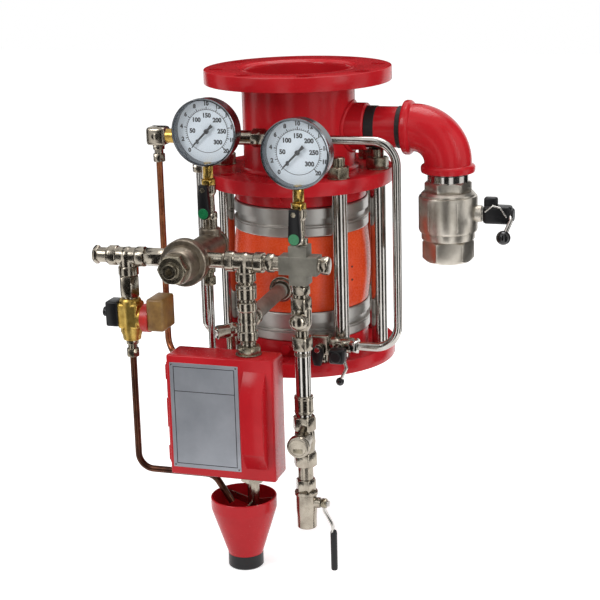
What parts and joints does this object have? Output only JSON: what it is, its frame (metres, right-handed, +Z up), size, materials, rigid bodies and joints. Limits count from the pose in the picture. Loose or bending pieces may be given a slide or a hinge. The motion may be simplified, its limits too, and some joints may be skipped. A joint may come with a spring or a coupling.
{
  "type": "deluge valve",
  "caption": "Sleeve type deluge valve: flanged body, side drain with ball valve, and front trim with pressure gauges, relay valve, pilot solenoid, release box and drip funnel.",
  "frame": {"origin": "centre of the inlet flange's lower face, on the pipe axis", "axes": "+Z up along the pipe axis from inlet to outlet, +X towards the drain side, -Y towards the front where the trim hangs"},
  "size_m": [0.5394, 0.5027, 0.6737],
  "materials": {
    "red_paint": "gloss",
    "orange_paint": "gloss",
    "stainless": "satin",
    "zinc_steel": "dull",
    "nickel": "plated",
    "brass": "bright",
    "copper": "dark copper",
    "rubber": "matt",
    "black_plastic": "satin",
    "brown_plastic": "satin"
  },
  "bodies": {
    "valve": {"outlet_flange": "red_paint", "spool_pipe": "red_paint", "spool_flange": "red_paint", "inlet_flange": "red_paint", "lower_collar": "red_paint", "upper_collar": "red_paint", "valve_housing": "orange_paint", "valve_sleeve": "rubber", "valve_core": "nickel", "lower_clamp": "stainless", "upper_clamp": "stainless", "tie_rod_1": "zinc_steel", "tie_rod_2": "zinc_steel", "tie_rod_3": "zinc_steel", "tie_rod_4": "zinc_steel", "tie_rod_5": "zinc_steel", "tie_rod_6": "zinc_steel", "drain_nipple": "red_paint", "drain_elbow": "red_paint", "drain_valve_body": "nickel", "drain_valve_tailpiece": "nickel", "port_nipple": "nickel", "left_tee": "nickel", "mid_tee": "nickel", "stack_tee": "nickel", "cross": "stainless", "relay_body": "zinc_steel", "relay_bonnet": "zinc_steel", "check_valve": "nickel", "lower_pipe": "nickel", "strainer_body": "nickel", "strainer_cap": "nickel", "test_valve_body": "nickel", "left_gauge_case": "stainless", "right_gauge_case": "stainless", "left_gauge_valve": "nickel", "right_gauge_valve": "nickel", "supply_tube": "stainless", "supply_manifold": "nickel", "supply_valve_body": "nickel", "left_copper_tube": "copper", "solenoid_body": "brass", "solenoid_coil": "brown_plastic", "box_shell": "red_paint", "release_valve": "nickel", "drip_funnel": "red_paint"},
    "drain_valve": {"drain_valve_ball": "stainless", "drain_valve_handle": "black_plastic"},
    "test_valve": {"test_valve_ball": "stainless", "test_valve_lever": "stainless"},
    "left_needle": {"left_gauge_needle": "black_plastic"},
    "right_needle": {"right_gauge_needle": "black_plastic"},
    "left_lever": {"left_gauge_lever": "black_plastic"},
    "right_lever": {"right_gauge_lever": "black_plastic"},
    "supply_handle": {"supply_valve_handle": "black_plastic"},
    "bleed_cock": {"bleed_handle": "black_plastic"},
    "door": {"box_door": "red_paint"},
    "release_lever": {"release_handle": "red_paint"},
    "piston": {"relay_piston": "stainless"},
    "check": {"check_ball": "stainless"}
  },
  "joints": [
    {"name": "drain_valve_turn", "type": "hinge", "parent": "valve", "child": "drain_valve", "pos_m": [0.2275, 0, 0.2285], "axis": [1, 0, 0], "range_deg": [0, 90]},
    {"name": "test_valve_turn", "type": "hinge", "parent": "valve", "child": "test_valve", "pos_m": [0.089, -0.285, -0.129], "axis": [1, 0, 0], "range_deg": [0, 90]},
    {"name": "left_needle_turn", "type": "hinge", "parent": "valve", "child": "left_needle", "pos_m": [-0.069, -0.206, 0.3745], "axis": [0, 1, 0], "range_deg": [0, 270]},
    {"name": "right_needle_turn", "type": "hinge", "parent": "valve", "child": "right_needle", "pos_m": [0.089, -0.285, 0.3625], "axis": [0, 1, 0], "range_deg": [0, 270]},
    {"name": "left_lever_turn", "type": "hinge", "parent": "valve", "child": "left_lever", "pos_m": [-0.069, -0.206, 0.296], "axis": [0, 1, 0], "range_deg": [0, 90]},
    {"name": "right_lever_turn", "type": "hinge", "parent": "valve", "child": "right_lever", "pos_m": [0.089, -0.285, 0.284], "axis": [0, 1, 0], "range_deg": [0, 90]},
    {"name": "supply_valve_turn", "type": "hinge", "parent": "valve", "child": "supply_handle", "pos_m": [0.0915, -0.11, 0.048], "axis": [0, -1, 0], "range_deg": [0, 90]},
    {"name": "bleed_cock_turn", "type": "hinge", "parent": "valve", "child": "bleed_cock", "pos_m": [0.062, -0.11, 0.045], "axis": [0, 1, 0], "range_deg": [0, 90]},
    {"name": "door_swing", "type": "hinge", "parent": "valve", "child": "door", "pos_m": [-0.1037, -0.302, -0.007], "axis": [0, 0, -1], "range_deg": [0, 110]},
    {"name": "release_turn", "type": "hinge", "parent": "valve", "child": "release_lever", "pos_m": [0.011, -0.285, 0.0422], "axis": [0, -1, 0], "range_deg": [0, 90]},
    {"name": "piston_slide", "type": "slide", "parent": "valve", "child": "piston", "axis": [0, -1, 0], "range_m": [0, 0.008]},
    {"name": "check_lift", "type": "slide", "parent": "valve", "child": "check", "axis": [0, 0, 1], "range_m": [0, 0.004]}
  ]
}
